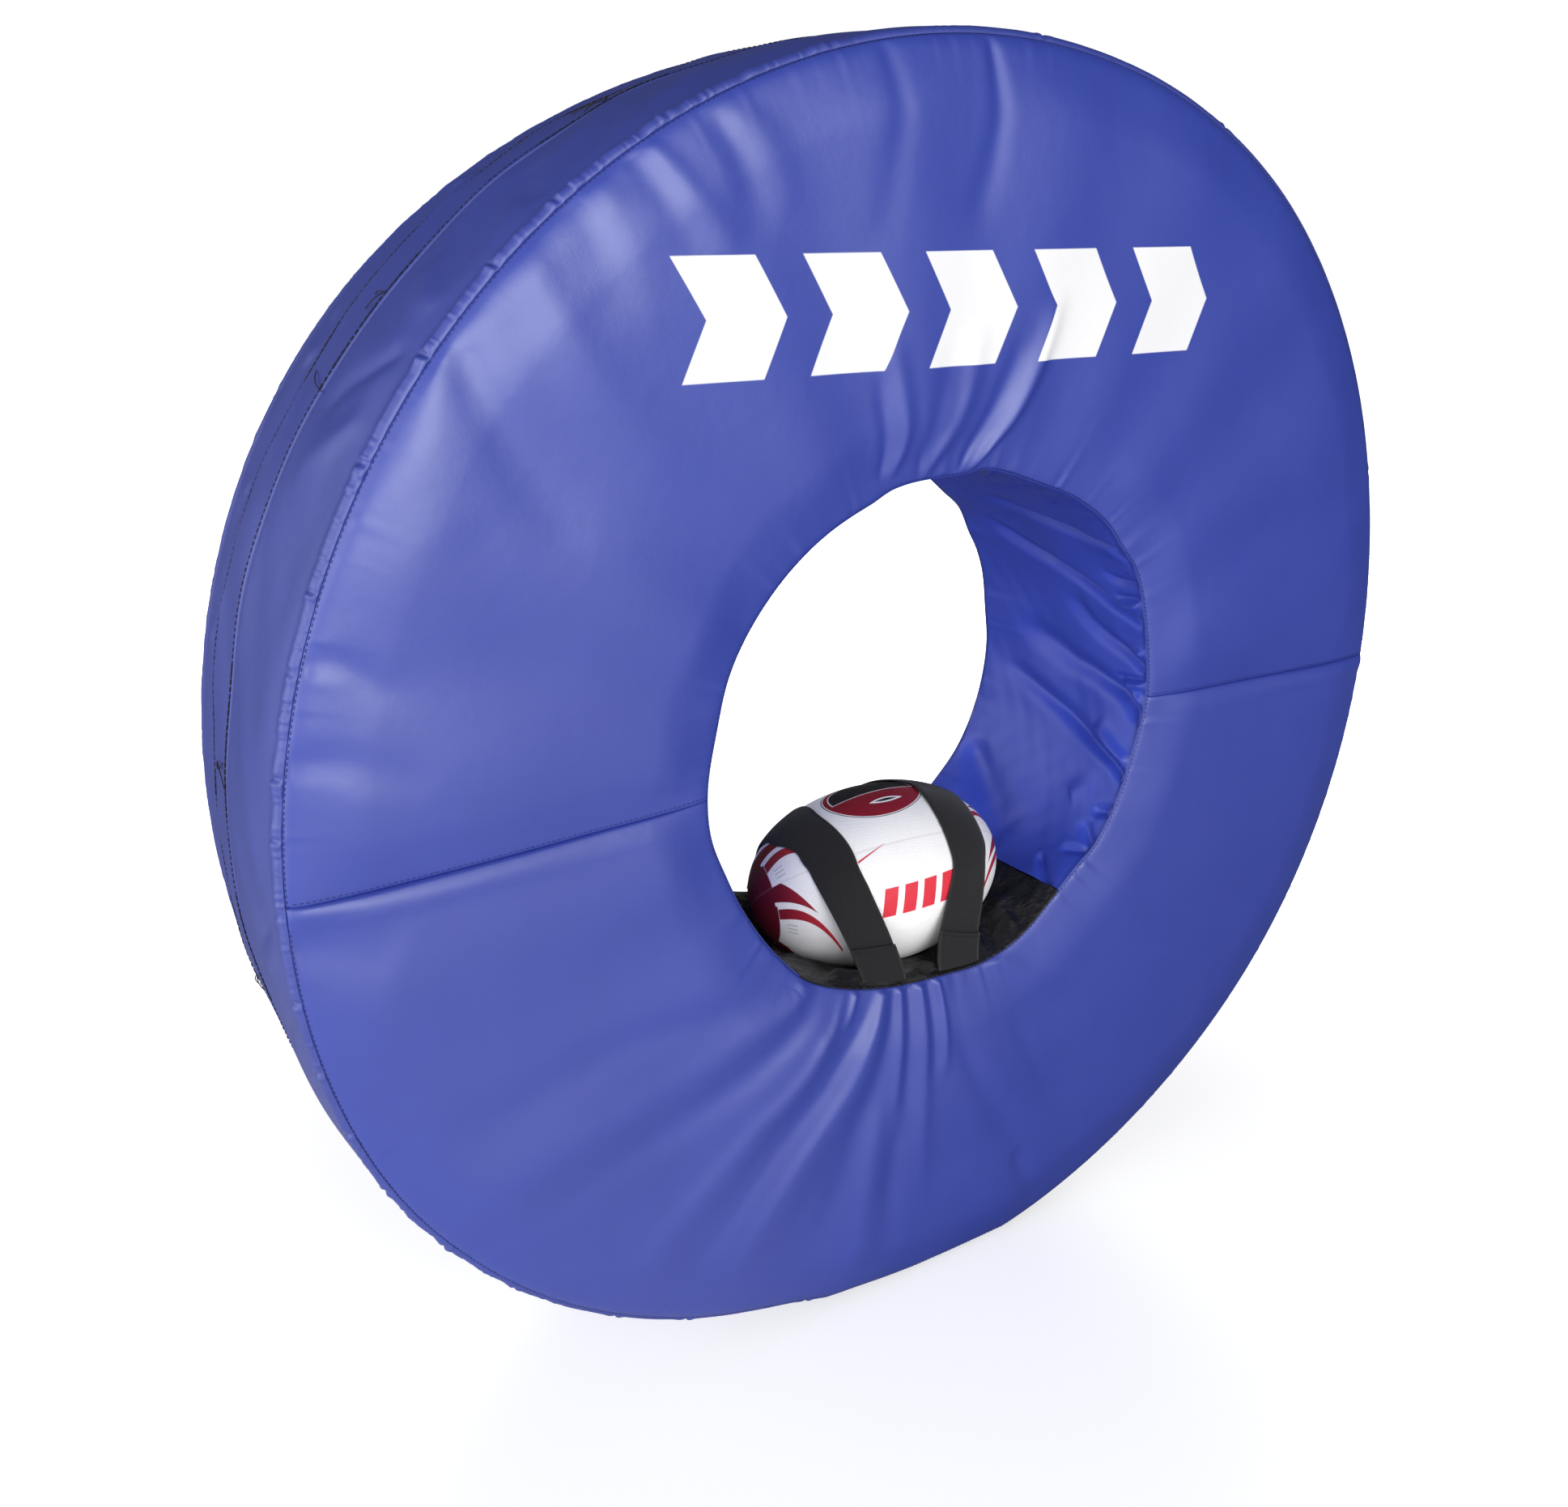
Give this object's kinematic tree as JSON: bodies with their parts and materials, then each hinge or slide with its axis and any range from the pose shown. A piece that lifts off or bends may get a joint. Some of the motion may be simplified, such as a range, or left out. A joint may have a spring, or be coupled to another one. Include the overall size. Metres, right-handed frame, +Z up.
{
  "type": "tackle ring",
  "caption": "Foam tackle ring in a sewn vinyl cover, standing on its edge, with a rugby ball held in its bore by elastic straps.",
  "frame": {"origin": "on the floor, under the middle of the ring, where its pressed foot stands", "axes": "+X to the right seen from the front, -Y out of the front face along the ring's axis, +Z up"},
  "size_m": [1.23, 0.285, 1.213],
  "materials": {
    "foam": "open-cell foam, matt",
    "blue_vinyl_face": "vinyl-coated fabric, satin",
    "blue_vinyl_tread": "vinyl-coated fabric, satin",
    "blue_vinyl_lining": "vinyl-coated fabric, satin",
    "black_vinyl": "vinyl-coated fabric, glossy",
    "hook_tape": "hook fastening tape",
    "loop_tape": "loop fastening tape",
    "black_elastic": "woven elastic, matt",
    "black_webbing": "webbing, matt",
    "ball_rubber_white": "pimpled, matt",
    "ball_rubber_red": "pimpled, matt",
    "bladder_latex": "smooth, matt",
    "valve_rubber": "smooth, matt"
  },
  "bodies": {
    "ring": {"foam_slab_front": "foam", "foam_slab_middle": "foam", "foam_slab_back": "foam", "face_front_upper": "blue_vinyl_face", "face_front_lower": "blue_vinyl_face", "face_back_upper": "blue_vinyl_face", "face_back_lower": "blue_vinyl_face", "tread_front_band": "blue_vinyl_tread", "tread_back_band": "blue_vinyl_tread", "closure_flap": "blue_vinyl_tread", "hook_tape": "hook_tape", "loop_tape": "loop_tape", "bore_sleeve": "blue_vinyl_lining", "ball_cradle": "black_vinyl", "strap_tab_left_front": "black_webbing", "strap_tab_left_back": "black_webbing", "strap_tab_right_front": "black_webbing", "strap_tab_right_back": "black_webbing"},
    "strap_left": {"strap_left": "black_elastic"},
    "strap_right": {"strap_right": "black_elastic"},
    "ball": {"ball_panel_top": "ball_rubber_white", "ball_panel_back": "ball_rubber_red", "ball_panel_under": "ball_rubber_white", "ball_panel_front": "ball_rubber_red", "bladder": "bladder_latex", "valve": "valve_rubber"}
  },
  "joints": [
    {"name": "ball_pull", "type": "slide", "parent": "ring", "child": "ball", "axis": [0, -0.5299, 0.848], "range_m": [0, 0.4], "deforming": ["strap_left", "strap_right"]},
    {"name": "strap_left_swing", "type": "hinge", "parent": "ring", "child": "strap_left", "pos_m": [-0.0515, 0, 0.3527], "axis": [0, -1, 0], "range_deg": [0, 30], "stiffness_Nm_per_rad": 0.4, "springref_deg": -20.05, "deforming": ["strap_left"]},
    {"name": "strap_right_swing", "type": "hinge", "parent": "ring", "child": "strap_right", "pos_m": [0.0415, 0, 0.3509], "axis": [0, 1, 0], "range_deg": [0, 30], "stiffness_Nm_per_rad": 0.4, "springref_deg": -20.05, "deforming": ["strap_right"]}
  ]
}
